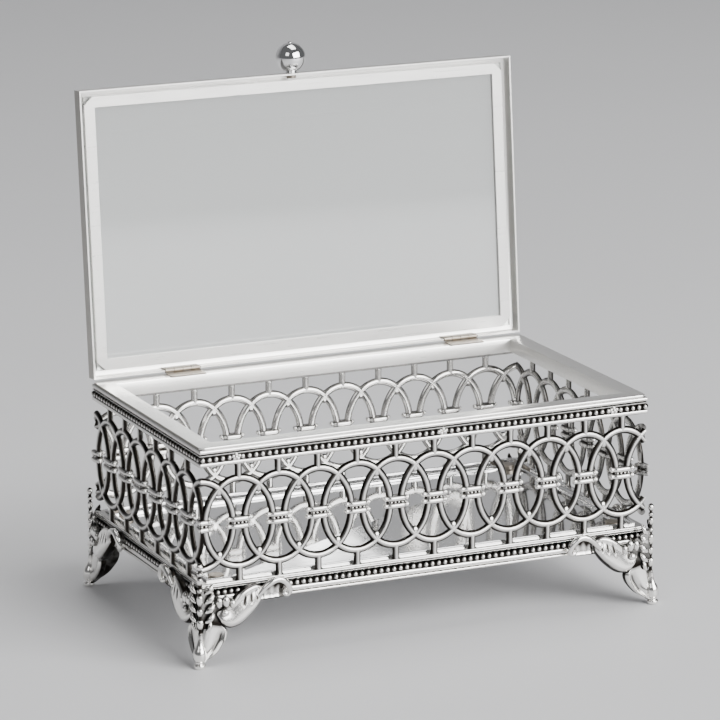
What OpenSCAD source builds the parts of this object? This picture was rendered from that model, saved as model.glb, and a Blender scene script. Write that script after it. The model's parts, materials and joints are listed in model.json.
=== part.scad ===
// Footed trinket box: four cast fretwork panels on cabriole corner feet, a polished floor
// tray, a flat rim ledge, and a glass lid in a thin metal frame that swings on two butt hinges.
// Millimetres, +Z up, +Y towards the hinges. The origin lies on the surface that the feet
// stand on, under the middle of the whole object as it stands with its lid open.

/* [Box] */
// Width of the box over its side panels
box_w = 170; // [120:1:260]
// Depth of the box over its front and rear panels
box_d = 102; // [70:1:160]
// Oval links along each side panel; the long panels take as many as fit
side_links = 7; // [5:1:10]

/* [Bands] */
// Height of the lower band
low_band_h = 7.2; // [6:0.1:12]
// Height of the upper band, its lip included
top_band_h = 6; // [4:0.1:10]
// Thickness of both bands
band_t = 3; // [2.5:0.1:5]
// Depth of the groove line behind each lip
groove_d = 0.5; // [0.2:0.05:0.8]
// Height of the lip along the outer edge of each band
lip_h = 0.9; // [0.5:0.1:1.5]
// Height of the recessed field that holds the bead row
field_h = 2.9; // [2:0.1:4]
// How far the inner shelf under the floor tray stands in
shelf_w = 1.5; // [1:0.1:2.5]
// Height of the inner shelf
shelf_h = 1.5; // [1:0.1:3]

/* [Lattice] */
// Height of the open fretwork between the bands
lattice_h = 41; // [30:0.5:60]
// Thickness of the fretwork
lattice_t = 2.2; // [1.5:0.1:2.4]
// How far the fretwork lies behind the faces of the bands
lattice_in = 0.4; // [0.1:0.1:0.6]
// Width of a strand
strand_w = 1.7; // [1.2:0.1:2.5]
// Height of an oval link on the middle of its strand
oval_h = 30.8; // [22:0.2:36]
// Distance between the two strands that a collar holds
strand_gap = 4.2; // [3:0.1:6]
// Radius in the corners of the openings
fillet_r = 0.6; // [0.3:0.1:1]
// Length of a collar along the panel
collar_w = 8; // [6:0.2:10]
// Distance between the two rings of a collar
collar_rise = 2.5; // [2:0.1:3.5]
// Thickness of a collar's rings
collar_ring_d = 1.8; // [1.2:0.1:2]

/* [Rim ledge] */
// Thickness of the ledge sheet
rim_t = 0.8; // [0.5:0.1:1.5]
// Width of the ledge, seen from above
rim_w = 6.6; // [5:0.1:9]
// Height of the ledge's inner strip, the sheet included
rim_drop = 5; // [3:0.5:10]
// How far the ledge lies behind the faces of the bands
rim_in = 0.4; // [0.2:0.1:0.6]

/* [Floor tray] */
// Thickness of the floor tray's sheet
tray_t = 0.8; // [0.5:0.1:1.5]
// Height of the tray's turned-up edge, the sheet included
tray_edge_h = 3; // [2:0.1:5]
// Height of the tray's underside above the bottom of the lower band
tray_up = 5.2; // [4:0.1:7]
// Gap between the tray and the panels
tray_gap = 0.2; // [0.1:0.05:0.5]

/* [Feet] */
// Height of the feet below the lower band
foot_h = 21; // [14:0.5:30]
// Length of a foot's wing along the panel
wing_len = 31.5; // [24:0.5:34]
// Thickness of a wing in front of the panel
wing_t = 2.6; // [1.5:0.1:4]
// How far the toe stands out past the corner of the box
toe_out = 4.1; // [2:0.1:5]
// Diameter of the flat pad under the toe
toe_d = 7; // [5:0.1:9]
// Diameter of the ridge up the corner
ridge_d = 4.4; // [3:0.1:6]
// Height of the ridge's ball above the bottom of the lower band
finial_up = 13; // [9:0.5:18]
// Thickness of the web under the box
web_t = 4; // [3:0.5:6]
// Distance of a foot's screw from both outer faces of the box
screw_in = 9; // [8.5:0.1:12]
// Diameter of the boss round a foot's screw
boss_d = 6.4; // [5:0.1:8]
// Diameter of a foot's screw
screw_d = 3; // [2:0.5:4]
// Length of a foot's screw under its head
screw_len = 8; // [6:0.5:9]
// Diameter of the screw's head
screw_head_d = 5.5; // [4:0.1:7]
// Height of the screw's head
screw_head_h = 1.8; // [1:0.1:2.5]
// Radial clearance of the screw in the tray
screw_gap = 0.2; // [0.1:0.05:0.5]

/* [Lid] */
// Angle by which the lid stands open
lid_open = 95; // [0:1:95]
// Distance by which the closed lid's front reaches past the front wall
lid_over = 1.6; // [0:0.1:3]
// Distance by which the lid's sides stand in from the sides of the box
lid_side_in = 0.5; // [0:0.1:1]
// Height of the lid's skirt, the sheet included
lid_h = 5.2; // [4.8:0.1:9]
// Thickness of the lid's sheet
lid_t = 0.6; // [0.4:0.1:1]
// Width of the flange round the glass, seen from above
flange_w = 6.5; // [4:0.1:10]
// Gap between the closed skirt and the ledge
lid_gap = 0.15; // [0.1:0.05:0.5]
// Thickness of the glass
glass_t = 1.5; // [1:0.1:2]
// Gap between the glass and the skirt, all round
glass_gap = 1.9; // [1.7:0.1:3]
// Thickness of the frame that holds the glass in
retainer_t = 0.5; // [0.3:0.1:0.8]
// Length of the clipped corners of that frame
retainer_clip = 3; // [1:0.5:4]

/* [Knob] */
// Diameter of the knob's ball
knob_d = 10.8; // [7:0.1:16]
// Distance of the knob from the middle of the lid, to the left
knob_left = 2.2; // [0:0.1:5]
// Diameter of the knob's neck
neck_d = 4; // [3:0.1:6]
// Height of the neck between the ball and the lid
neck_h = 0.3; // [0.2:0.1:2]
// Diameter of the pip on top of the ball
pip_d = 1.6; // [1:0.1:3]
// Diameter of the knob's screw
knob_screw_d = 2; // [1.5:0.1:2.5]
// Depth of the screw's hole in the knob
knob_hole = 5; // [3:0.1:6]
// Diameter of the head of the knob's screw
knob_head_d = 3.4; // [3:0.1:4]
// Height of that head
knob_head_h = 1.2; // [0.8:0.1:1.5]

/* [Hinges] */
// Length of a hinge
hinge_len = 13.4; // [10:0.2:20]
// Distance of the left hinge's middle from the left side of the box
hinge_left_in = 34.6; // [20:0.2:45]
// Distance of the right hinge's middle from the right side of the box
hinge_right_in = 24.8; // [20:0.2:45]
// Knuckles along a hinge, both leaves together
knuckles = 4; // [3:1:6]
// Gap between two knuckles
knuckle_gap = 0.12; // [0.08:0.02:0.3]
// Outer diameter of the knuckles
barrel_d = 1.7; // [1.5:0.05:1.8]
// Diameter of the pin
pin_d = 0.8; // [0.6:0.05:1]
// Radial running clearance of the pin in the lid's knuckles
pin_gap = 0.05; // [0.02:0.01:0.1]
// Distance of the pin in front of the rear face of the box
pin_in = 0.9; // [0.8:0.05:1.2]
// Height of the pin above the ledge
pin_up = 1.05; // [1:0.05:1.3]
// Thickness of the hinge leaves
leaf_t = 0.4; // [0.3:0.05:0.5]
// Depth of the leaf on the ledge
box_leaf_w = 6.7; // [4:0.1:8]
// Gap round the barrel in the leaves and in the skirt's notch
barrel_gap = 0.15; // [0.1:0.05:0.3]
// Width left free at each end of a hinge in the skirt's notch
notch_gap = 0.3; // [0.2:0.1:1]

/* [Hidden] */
round_fn = 48;
oval_fn = 36;
fillet_fn = 16;
// Overlap that makes a cut or a joint clean
eps = 0.01;

pitch = box_d / side_links;
oval_a = pitch - strand_gap / 2;
oval_b = oval_h / 2;
lattice_z = foot_h + low_band_h;
top_band_z = lattice_z + lattice_h;
wall_top = top_band_z + top_band_h;
ledge_top = wall_top + rim_t;
link_z = lattice_z + lattice_h / 2;
tray_z = foot_h + tray_up;
floor_z = tray_z + tray_t;
// Depth of the space that the mitred ends of a panel or ledge need
mitre_d = rim_in + rim_w + eps;
pin_y = box_d / 2 - pin_in;
pin_z = ledge_top + pin_up;
lid_z = ledge_top + lid_gap;
lid_top = lid_z + lid_h;
glass_z = lid_top - lid_t - glass_t;
retainer_z = glass_z - retainer_t;
skirt_mid = lid_z + lid_h / 2;
lid_w = box_w - 2 * lid_side_in;
lid_front = -box_d / 2 - lid_over;
// The pins lie in the middle of the rear skirt's sheet
lid_rear = pin_y + lid_t / 2;
lid_d = lid_rear - lid_front;
lid_mid = (lid_rear + lid_front) / 2;
window_w = lid_w - 2 * flange_w;
window_d = lid_d - 2 * flange_w;
// Outer size of the glass and of the frame that holds it in
pane_w = lid_w - 2 * (lid_t + glass_gap);
pane_d = lid_d - 2 * (lid_t + glass_gap);
knob_y = lid_front - neck_h - knob_d / 2;
barrel_r = barrel_d / 2;
leaf_clear = barrel_r + barrel_gap;
hinge_left_x = -box_w / 2 + hinge_left_in;
hinge_right_x = box_w / 2 - hinge_right_in;
knuckle_len = hinge_len / knuckles;
// Where the open lid's knob and the front toes end, which gives the middle of the whole depth
open_knob_y = pin_y + (knob_y - pin_y) * cos(lid_open) + (skirt_mid - pin_z) * sin(lid_open);
rear_most = max(open_knob_y + knob_d / 2, box_d / 2 + toe_out);
depth_mid = (rear_most - box_d / 2 - toe_out) / 2;

silver = [0.80, 0.79, 0.76];
bright = [0.88, 0.88, 0.87];
clear = [0.80, 0.88, 0.88, 0.35];
steel = [0.62, 0.63, 0.65];

// Places a piece of the box, whose own origin is under the middle of the box.
module box_place() {
    translate([0, -depth_mid, 0]) children();
}

// Places a piece of the lid, drawn closed, at the angle that the lid stands open.
module lid_place() {
    box_place()
        translate([0, pin_y, pin_z])
            rotate([-lid_open, 0, 0])
                translate([0, -pin_y, -pin_z]) children();
}

// One piece for each side of the box: turned by a quarter turn for the side panels.
module on_side(turn) {
    box_place() rotate([0, 0, turn]) children();
}

// The plan of one side with both ends cut at 45 degrees.
module mitre_plan(len, depth) {
    polygon([
        [-len / 2, -depth / 2],
        [len / 2, -depth / 2],
        [len / 2 - mitre_d, -depth / 2 + mitre_d],
        [-len / 2 + mitre_d, -depth / 2 + mitre_d],
    ]);
}

// A profile drawn as [distance in from the outer face, height], carried along a side.
module along(len, depth) {
    translate([-len / 2, -depth / 2, 0])
        rotate([90, 0, 90]) linear_extrude(len) children();
}

function oval(a, b) = [
    for (i = [0 : oval_fn - 1])
        let (t = 360 * (i + 0.5) / oval_fn) [a * cos(t), b * sin(t)]
];

// The fretwork of one panel, drawn flat, its first link centred on the left end.
module fretwork(len) {
    links = ceil(len / pitch);
    low = -lattice_h / 2 - eps;
    intersection() {
        translate([0, low - 1]) square([len, lattice_h + 2 * eps + 2]);
        offset(r = -fillet_r, $fn = fillet_fn) offset(delta = fillet_r) union() {
            for (k = [-1 : links + 1]) translate([k * pitch, 0]) {
                difference() {
                    polygon(oval(oval_a + strand_w / 2, oval_b + strand_w / 2));
                    polygon(oval(oval_a - strand_w / 2, oval_b - strand_w / 2));
                }
                for (side = [-1, 1]) translate([-strand_w / 2, side > 0 ? oval_b : low])
                    square([strand_w, lattice_h / 2 - oval_b + eps]);
            }
            for (z = [low - 1, lattice_h / 2 + eps])
                translate([-pitch, z]) square([len + 2 * pitch, 1]);
        }
    }
}

module low_band_profile() {
    field_z = (low_band_h - lip_h - field_h) / 2 + lip_h;
    polygon([
        [0, foot_h],
        [band_t, foot_h],
        [band_t, tray_z - shelf_h],
        [band_t + shelf_w, tray_z - shelf_h],
        [band_t + shelf_w, tray_z],
        [band_t, tray_z],
        [band_t, lattice_z],
        [lattice_in, lattice_z],
        [lattice_in / 2, foot_h + field_z + field_h + groove_d / 2],
        [groove_d, foot_h + field_z + field_h],
        [groove_d, foot_h + field_z],
        [0, foot_h + field_z],
        [0, foot_h + lip_h + groove_d],
        [groove_d, foot_h + lip_h + groove_d],
        [groove_d, foot_h + lip_h],
        [0, foot_h + lip_h],
    ]);
}

module top_band_profile() {
    field_z = top_band_z + (top_band_h - lip_h - field_h) / 2;
    polygon([
        [0, top_band_z],
        [band_t, top_band_z],
        [band_t, wall_top],
        [0, wall_top],
        [0, wall_top - lip_h],
        [groove_d, wall_top - lip_h],
        [groove_d, field_z],
        [0, field_z],
    ]);
}

// One of the collars' rings, which runs along the panel and is round at its ends.
module collar_ring() {
    straight = collar_w - collar_ring_d;
    rotate([0, 90, 0]) cylinder(h = straight, d = collar_ring_d, center = true, $fn = round_fn);
    for (side = [-1, 1]) translate([side * straight / 2, 0, 0])
        sphere(d = collar_ring_d, $fn = round_fn);
}

module collar() {
    for (side = [-1, 1]) translate([0, 0, side * collar_rise / 2]) collar_ring();
}

module panel(len, depth) {
    collar_y = -depth / 2 + lattice_in + lattice_t / 2 - collar_ring_d / 4;
    intersection() {
        union() {
            along(len, depth) low_band_profile();
            along(len, depth) top_band_profile();
            translate([-len / 2, -depth / 2 + lattice_in + lattice_t, link_z])
                rotate([90, 0, 0]) linear_extrude(lattice_t) fretwork(len);
            for (k = [0 : ceil(len / pitch)])
                if (k * pitch < len + eps)
                    translate([-len / 2 + k * pitch, collar_y, link_z]) collar();
        }
        translate([0, 0, foot_h - 1])
            linear_extrude(wall_top - foot_h + 2) mitre_plan(len, depth);
    }
}

// An angle strip: a flat ledge on top of the panel and a strip down its inner edge.
module ledge(len, depth) {
    intersection() {
        along(len, depth) polygon([
            [rim_in, wall_top],
            [rim_in + rim_w - rim_t, wall_top],
            [rim_in + rim_w - rim_t, ledge_top - rim_drop],
            [rim_in + rim_w, ledge_top - rim_drop],
            [rim_in + rim_w, ledge_top],
            [rim_in, ledge_top],
        ]);
        translate([0, 0, ledge_top - rim_drop - 1])
            linear_extrude(rim_drop + 2) mitre_plan(len, depth);
    }
}

// Runs its child at the place of each foot's screw.
module at_screws() {
    for (sx = [-1, 1], sy = [-1, 1])
        translate([sx * (box_w / 2 - screw_in), sy * (box_d / 2 - screw_in), 0]) children();
}

module floor_tray() {
    w = box_w - 2 * (band_t + tray_gap);
    d = box_d - 2 * (band_t + tray_gap);
    color(bright) box_place() difference() {
        translate([-w / 2, -d / 2, tray_z]) cube([w, d, tray_edge_h]);
        translate([-w / 2 + tray_t, -d / 2 + tray_t, floor_z])
            cube([w - 2 * tray_t, d - 2 * tray_t, tray_edge_h]);
        at_screws() translate([0, 0, tray_z - 1])
            cylinder(h = tray_t + 2, d = screw_d + 2 * screw_gap, $fn = round_fn);
    }
}

// The outline of a wing: along the panel from the corner, and up from the standing surface.
module wing_outline() {
    top = foot_h + low_band_h - 1;
    knee = foot_h * 0.55;
    difference() {
        polygon([
            [0, knee],
            [wing_len * 0.38, knee],
            [wing_len * 0.72, foot_h - 0.6],
            [wing_len - 1.5, foot_h - 0.2],
            [wing_len, foot_h + 2],
            [wing_len * 0.93, top - 1.5],
            [wing_len * 0.86, top],
            [0, top],
        ]);
        translate([wing_len * 0.6, foot_h - wing_len * 0.27])
            circle(r = wing_len * 0.24, $fn = round_fn);
    }
}

// One foot, its box corner at the origin and the box towards +X and +Y.
module foot() {
    knee = foot_h * 0.6;
    leg_w = wing_len * 0.32;
    difference() {
        union() {
            translate([0, 0, 0]) rotate([90, 0, 0]) linear_extrude(wing_t) wing_outline();
            mirror([1, -1, 0]) rotate([90, 0, 0]) linear_extrude(wing_t) wing_outline();
            translate([-wing_t, -wing_t, knee]) cube([wing_t, wing_t, foot_h + 2 - knee]);
            translate([-wing_t / 2, -wing_t / 2, knee])
                cylinder(h = foot_h + finial_up - knee, d = ridge_d, $fn = round_fn);
            translate([-wing_t / 2, -wing_t / 2, foot_h + finial_up])
                sphere(d = ridge_d * 0.85, $fn = round_fn);
            hull() {
                translate([toe_d / 2 - toe_out, toe_d / 2 - toe_out, 0])
                    cylinder(h = 1.5, d = toe_d, $fn = 32);
                translate([-wing_t, -wing_t, knee - 1]) cube([leg_w, wing_t, 1.5]);
                translate([-wing_t, -wing_t, knee - 1]) cube([wing_t, leg_w, 1.5]);
            }
            translate([-eps, -eps, foot_h - web_t])
                cube([screw_in + boss_d / 2, screw_in, web_t]);
            translate([-eps, -eps, foot_h - web_t])
                cube([screw_in, screw_in + boss_d / 2, web_t]);
            translate([screw_in, screw_in, foot_h - web_t])
                cylinder(h = tray_z - foot_h + web_t, d = boss_d, $fn = round_fn);
        }
        difference() {
            translate([0, 0, foot_h]) cube([wing_len + 5, wing_len + 5, finial_up + 10]);
            translate([screw_in, screw_in, foot_h - 1])
                cylinder(h = tray_z - foot_h + 1, d = boss_d, $fn = round_fn);
        }
        translate([screw_in, screw_in, foot_h - web_t - 1])
            cylinder(h = tray_z - foot_h + web_t + 2, d = screw_d, $fn = round_fn);
    }
}

module foot_at(sx, sy) {
    color(silver) box_place() translate([sx * box_w / 2, sy * box_d / 2, 0])
        mirror([sx > 0 ? 1 : 0, 0, 0]) mirror([0, sy > 0 ? 1 : 0, 0]) foot();
}

module foot_screws() {
    color(steel) box_place() at_screws() {
        translate([0, 0, floor_z]) cylinder(h = screw_head_h, d = screw_head_d, $fn = round_fn);
        translate([0, 0, floor_z - screw_len])
            cylinder(h = screw_len + eps, d = screw_d, $fn = round_fn);
    }
}

// The space that a hinge's barrel needs in the rear skirt of the closed lid.
module skirt_notch(x) {
    w = hinge_len + 2 * notch_gap;
    translate([x - w / 2, lid_rear - lid_t - 1, lid_z - 1])
        cube([w, lid_t + 2, pin_z + leaf_clear - lid_z + 1]);
}

module lid_frame() {
    color(bright) lid_place() difference() {
        translate([-lid_w / 2, lid_front, lid_z]) cube([lid_w, lid_d, lid_h]);
        translate([-lid_w / 2 + lid_t, lid_front + lid_t, lid_z - 1])
            cube([lid_w - 2 * lid_t, lid_d - 2 * lid_t, lid_h - lid_t + 1]);
        translate([-window_w / 2, lid_mid - window_d / 2, lid_z])
            cube([window_w, window_d, lid_h + 1]);
        skirt_notch(hinge_left_x);
        skirt_notch(hinge_right_x);
        translate([-knob_left, lid_front + lid_t + 1, skirt_mid])
            rotate([90, 0, 0]) cylinder(h = lid_t + 2, d = knob_screw_d, $fn = round_fn);
    }
}

module lid_glass() {
    color(clear) lid_place()
        translate([-pane_w / 2, lid_mid - pane_d / 2, glass_z]) cube([pane_w, pane_d, glass_t]);
}

module glass_retainer() {
    c = retainer_clip;
    color(bright) lid_place() translate([0, lid_mid, retainer_z]) linear_extrude(retainer_t)
        difference() {
            polygon([
                [-pane_w / 2 + c, -pane_d / 2],
                [pane_w / 2 - c, -pane_d / 2],
                [pane_w / 2, -pane_d / 2 + c],
                [pane_w / 2, pane_d / 2 - c],
                [pane_w / 2 - c, pane_d / 2],
                [-pane_w / 2 + c, pane_d / 2],
                [-pane_w / 2, pane_d / 2 - c],
                [-pane_w / 2, -pane_d / 2 + c],
            ]);
            square([window_w, window_d], center = true);
        }
}

module knob() {
    color(bright) lid_place() translate([-knob_left, knob_y, skirt_mid]) rotate([90, 0, 0])
        difference() {
            union() {
                sphere(d = knob_d, $fn = round_fn);
                translate([0, 0, -knob_d / 2 - neck_h])
                    cylinder(h = knob_d / 2, d = neck_d, $fn = round_fn);
                translate([0, 0, knob_d / 2 - pip_d / 4]) sphere(d = pip_d, $fn = round_fn);
            }
            translate([0, 0, -knob_d / 2 - neck_h - 1])
                cylinder(h = knob_hole + 1, d = knob_screw_d, $fn = round_fn);
        }
}

module knob_screw() {
    color(steel) lid_place() translate([-knob_left, lid_front + lid_t, skirt_mid])
        rotate([90, 0, 0]) {
            translate([0, 0, -eps])
                cylinder(h = knob_hole + lid_t - 1 + eps, d = knob_screw_d, $fn = round_fn);
            translate([0, 0, -knob_head_h])
                cylinder(h = knob_head_h, d = knob_head_d, $fn = round_fn);
        }
}

// The knuckles that belong to one leaf: the odd ones are the lid's, the even ones the box's.
module knuckle_row(first, bore_d) {
    len = knuckle_len - knuckle_gap;
    for (i = [first : 2 : knuckles - 1])
        translate([-hinge_len / 2 + (i + 0.5) * knuckle_len - len / 2, 0, 0])
            rotate([0, 90, 0]) children_of_knuckle(len, bore_d);
}

module children_of_knuckle(len, bore_d) {
    difference() {
        cylinder(h = len, d = barrel_d, $fn = round_fn);
        translate([0, 0, -1]) cylinder(h = len + 2, d = bore_d, $fn = round_fn);
    }
}

// Tabs that tie a leaf's plate to its own knuckles, between two heights or depths.
module knuckle_tabs(first, from, size) {
    len = knuckle_len - knuckle_gap;
    for (i = [first : 2 : knuckles - 1])
        translate([-hinge_len / 2 + (i + 0.5) * knuckle_len - len / 2, from[0], from[1]])
            cube([len, size[0], size[1]]);
}

module lid_leaf(x) {
    plate_y = -lid_t / 2 - leaf_t;
    plate_top = lid_top - lid_t - pin_z;
    color(bright) lid_place() translate([x, pin_y, pin_z]) {
        difference() {
            union() {
                knuckle_row(0, pin_d + 2 * pin_gap);
                knuckle_tabs(0, [plate_y, 0], [leaf_t, leaf_clear + eps]);
                translate([-hinge_len / 2, plate_y, leaf_clear])
                    cube([hinge_len, leaf_t, plate_top - leaf_clear]);
            }
            rotate([0, 90, 0])
                cylinder(h = hinge_len + 2, d = pin_d + 2 * pin_gap, center = true, $fn = round_fn);
        }
    }
}

module box_leaf(x) {
    color(bright) box_place() translate([x, pin_y, pin_z]) {
        difference() {
            union() {
                knuckle_row(1, pin_d);
                knuckle_tabs(1, [-leaf_clear - eps, -pin_up], [leaf_clear + eps, leaf_t]);
                translate([-hinge_len / 2, -box_leaf_w, -pin_up])
                    cube([hinge_len, box_leaf_w - leaf_clear, leaf_t]);
            }
            rotate([0, 90, 0])
                cylinder(h = hinge_len + 2, d = pin_d, center = true, $fn = round_fn);
        }
    }
}

module hinge_pin(x) {
    color(steel) box_place() translate([x, pin_y, pin_z]) rotate([0, 90, 0])
        cylinder(h = hinge_len, d = pin_d, center = true, $fn = round_fn);
}

module front_panel() { color(silver) on_side(0) panel(box_w, box_d); }
module rear_panel() { color(silver) on_side(180) panel(box_w, box_d); }
module left_panel() { color(silver) on_side(-90) panel(box_d, box_w); }
module right_panel() { color(silver) on_side(90) panel(box_d, box_w); }
module front_ledge() { color(bright) on_side(0) ledge(box_w, box_d); }
module rear_ledge() { color(bright) on_side(180) ledge(box_w, box_d); }
module left_ledge() { color(bright) on_side(-90) ledge(box_d, box_w); }
module right_ledge() { color(bright) on_side(90) ledge(box_d, box_w); }

front_panel();
rear_panel();
left_panel();
right_panel();
front_ledge();
rear_ledge();
left_ledge();
right_ledge();
floor_tray();
foot_at(-1, -1);  // foot_front_left
foot_at(1, -1);  // foot_front_right
foot_at(-1, 1);  // foot_rear_left
foot_at(1, 1);  // foot_rear_right
foot_screws();
lid_frame();
lid_glass();
glass_retainer();
knob();
knob_screw();
lid_leaf(hinge_left_x);  // left_hinge_lid_leaf
box_leaf(hinge_left_x);  // left_hinge_box_leaf
hinge_pin(hinge_left_x);  // left_hinge_pin
lid_leaf(hinge_right_x);  // right_hinge_lid_leaf
box_leaf(hinge_right_x);  // right_hinge_box_leaf
hinge_pin(hinge_right_x);  // right_hinge_pin
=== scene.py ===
"""Looks of the footed trinket box: cast fretwork walls, leafy feet, polished floor and glass lid.

Shapes are worked out in millimetres in the maker's frame: the origin on the standing surface
under the middle of the box's own footprint, +X right, +Y towards the hinges, +Z up. A Shape is
turned into metres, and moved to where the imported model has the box, when it becomes an object.
"""

import json
import logging
import math
from dataclasses import dataclass, field
from enum import Enum
from typing import Callable, Iterable, Sequence

import bmesh
import bpy
import numpy as np
from mathutils import Matrix, Vector


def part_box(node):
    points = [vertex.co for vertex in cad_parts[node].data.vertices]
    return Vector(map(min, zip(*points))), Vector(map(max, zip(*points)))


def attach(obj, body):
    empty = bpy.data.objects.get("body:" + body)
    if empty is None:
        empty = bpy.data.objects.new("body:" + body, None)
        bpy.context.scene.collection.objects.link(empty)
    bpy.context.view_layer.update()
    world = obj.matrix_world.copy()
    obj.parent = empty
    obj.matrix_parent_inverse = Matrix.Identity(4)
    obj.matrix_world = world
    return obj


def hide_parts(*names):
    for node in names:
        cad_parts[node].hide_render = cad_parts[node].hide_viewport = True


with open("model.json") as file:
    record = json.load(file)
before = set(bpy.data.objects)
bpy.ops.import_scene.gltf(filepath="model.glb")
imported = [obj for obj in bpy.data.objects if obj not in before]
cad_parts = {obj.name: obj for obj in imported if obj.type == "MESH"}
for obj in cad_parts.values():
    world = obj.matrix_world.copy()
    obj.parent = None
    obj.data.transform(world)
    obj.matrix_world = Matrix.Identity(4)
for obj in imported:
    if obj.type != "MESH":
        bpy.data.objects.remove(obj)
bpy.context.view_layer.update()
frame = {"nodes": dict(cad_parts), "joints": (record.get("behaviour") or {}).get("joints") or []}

MM = 0.001
# Per-point darkness attribute: painted shade in recesses, under crests and on the strands' flanks, together
# with tarnishing of the silver.
DARK = "tarnish"
Field = Callable[[np.ndarray, np.ndarray, np.ndarray, np.ndarray], np.ndarray]
log = logging.getLogger("trinket_box")


# ---------------------------------------------------------------- shapes worked out with numpy


@dataclass
class Shape:
    """A mesh in the making.

    Attributes:
        points: One row of x, y, z for each point, in millimetres.
        quads: One row of four point numbers for each four-sided face.
        caps: Longer faces, each an array of point numbers.
        dark: How dark each point is painted, from 0 to 1: painted shade and tarnishing.
    """

    points: np.ndarray
    quads: np.ndarray
    caps: list[np.ndarray] = field(default_factory=list)
    dark: np.ndarray | None = None

    def __post_init__(self) -> None:
        """Fills in an undarkened surface where no darkness is given."""
        if self.dark is None:
            self.dark = np.zeros(len(self.points))

    def moved(self, x: float = 0.0, y: float = 0.0, z: float = 0.0) -> "Shape":
        """The same shape, moved."""
        return Shape(self.points + (x, y, z), self.quads, self.caps, self.dark)

    def mapped(self, place: Callable[[np.ndarray], np.ndarray]) -> "Shape":
        """The same faces with every point carried through a map of point rows."""
        return Shape(place(self.points), self.quads, self.caps, self.dark)

    def darker(self, amount: float) -> "Shape":
        """The same shape painted darker everywhere, as painted shade and tarnishing."""
        return Shape(self.points, self.quads, self.caps, np.clip(self.dark + amount, 0, 1))


def joined(shapes: Iterable[Shape]) -> Shape:
    """Puts several shapes into one.

    Args:
        shapes: The shapes, which stay separate shells.

    Returns:
        One shape, its point numbers shifted by the points before them.
    """
    parts = list(shapes)
    starts = np.concatenate([[0], np.cumsum([len(p.points) for p in parts])])
    return Shape(
        np.concatenate([p.points for p in parts]),
        np.concatenate([p.quads + s for p, s in zip(parts, starts)]),
        [c + s for p, s in zip(parts, starts) for c in p.caps],
        np.concatenate([p.dark for p in parts]),
    )


def repeated(shape: Shape, places: Sequence[Sequence[float]] | np.ndarray) -> Shape:
    """Copies a shape to many places.

    Args:
        shape: The shape to copy.
        places: One row of x, y, z for each copy, added to the shape's points.

    Returns:
        All the copies as one shape.
    """
    places = np.asarray(places, float)
    n, m = len(places), len(shape.points)
    shift = np.arange(n) * m
    return Shape(
        (shape.points[None] + places[:, None]).reshape(-1, 3),
        (shape.quads[None] + shift[:, None, None]).reshape(-1, 4),
        [c + s for s in shift for c in shape.caps],
        np.tile(shape.dark, n),
    )


def grid(
    points: np.ndarray,
    dark: np.ndarray | float = 0.0,
    loop_rows: bool = False,
    loop_columns: bool = True,
    capped: bool = True,
) -> Shape:
    """Skins a grid of points.

    The face at row i and column j has the corners (i, j), (i+1, j), (i+1, j+1) and (i, j+1),
    where the last row or column goes back to the first if it loops.

    Args:
        points: The points, shaped rows by columns by three.
        dark: Painted shade and tarnishing, one number or an array that spreads over rows and columns.
        loop_rows: Whether the last row joins the first.
        loop_columns: Whether the last column joins the first.
        capped: Whether the first and last rows are closed with one face each.

    Returns:
        The skin as a shape.
    """
    rows, columns = points.shape[:2]
    number = np.arange(rows * columns).reshape(rows, columns)
    wide = np.concatenate([number, number[:, :1]], 1) if loop_columns else number
    tall = np.concatenate([wide, wide[:1]], 0) if loop_rows else wide
    quads = np.stack([tall[:-1, :-1], tall[1:, :-1], tall[1:, 1:], tall[:-1, 1:]], -1)
    caps = [number[0], number[-1]] if capped and loop_columns and not loop_rows else []
    shade = np.broadcast_to(np.asarray(dark, float), (rows, columns)).reshape(-1)
    return Shape(points.reshape(-1, 3), quads.reshape(-1, 4), caps, shade.copy())


def smooth_line(knots: Sequence[Sequence[float]], count: int) -> np.ndarray:
    """Draws a smooth line through knots.

    Between two knots the line is the cubic that passes both with the slopes there, and the
    slope at a knot is that of the line between its neighbours.

    Args:
        knots: The points to pass, of any dimension.
        count: How many points the line gets, evenly spread over the knots' chords.

    Returns:
        The points of the line, one row each.
    """
    p = np.asarray(knots, float)
    chord = np.concatenate([[0], np.cumsum(np.linalg.norm(np.diff(p, axis=0), axis=1))])
    slope = np.gradient(p, chord, axis=0)
    t = np.linspace(0, chord[-1], count)
    i = np.clip(np.searchsorted(chord, t, side="right") - 1, 0, len(p) - 2)
    h = (chord[i + 1] - chord[i])[:, None]
    s = (t - chord[i])[:, None] / h
    return (
        (2 * s**3 - 3 * s**2 + 1) * p[i]
        + (s**3 - 2 * s**2 + s) * h * slope[i]
        + (3 * s**2 - 2 * s**3) * p[i + 1]
        + (s**3 - s**2) * h * slope[i + 1]
    )


def around(count: int) -> np.ndarray:
    """Angles evenly round a circle, from 0."""
    return np.arange(count) / count * 2 * math.pi


def soft_square(columns: int, power: float) -> tuple[np.ndarray, np.ndarray]:
    """The outline between a circle and a square: |u|^power + |v|^power = 1.

    Args:
        columns: How many points go round it.
        power: 2 gives a circle, more gives squarer corners.

    Returns:
        The u and the v of the points.
    """
    u, v = np.cos(around(columns)), np.sin(around(columns))
    return np.sign(u) * np.abs(u) ** (2 / power), np.sign(v) * np.abs(v) ** (2 / power)


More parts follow.
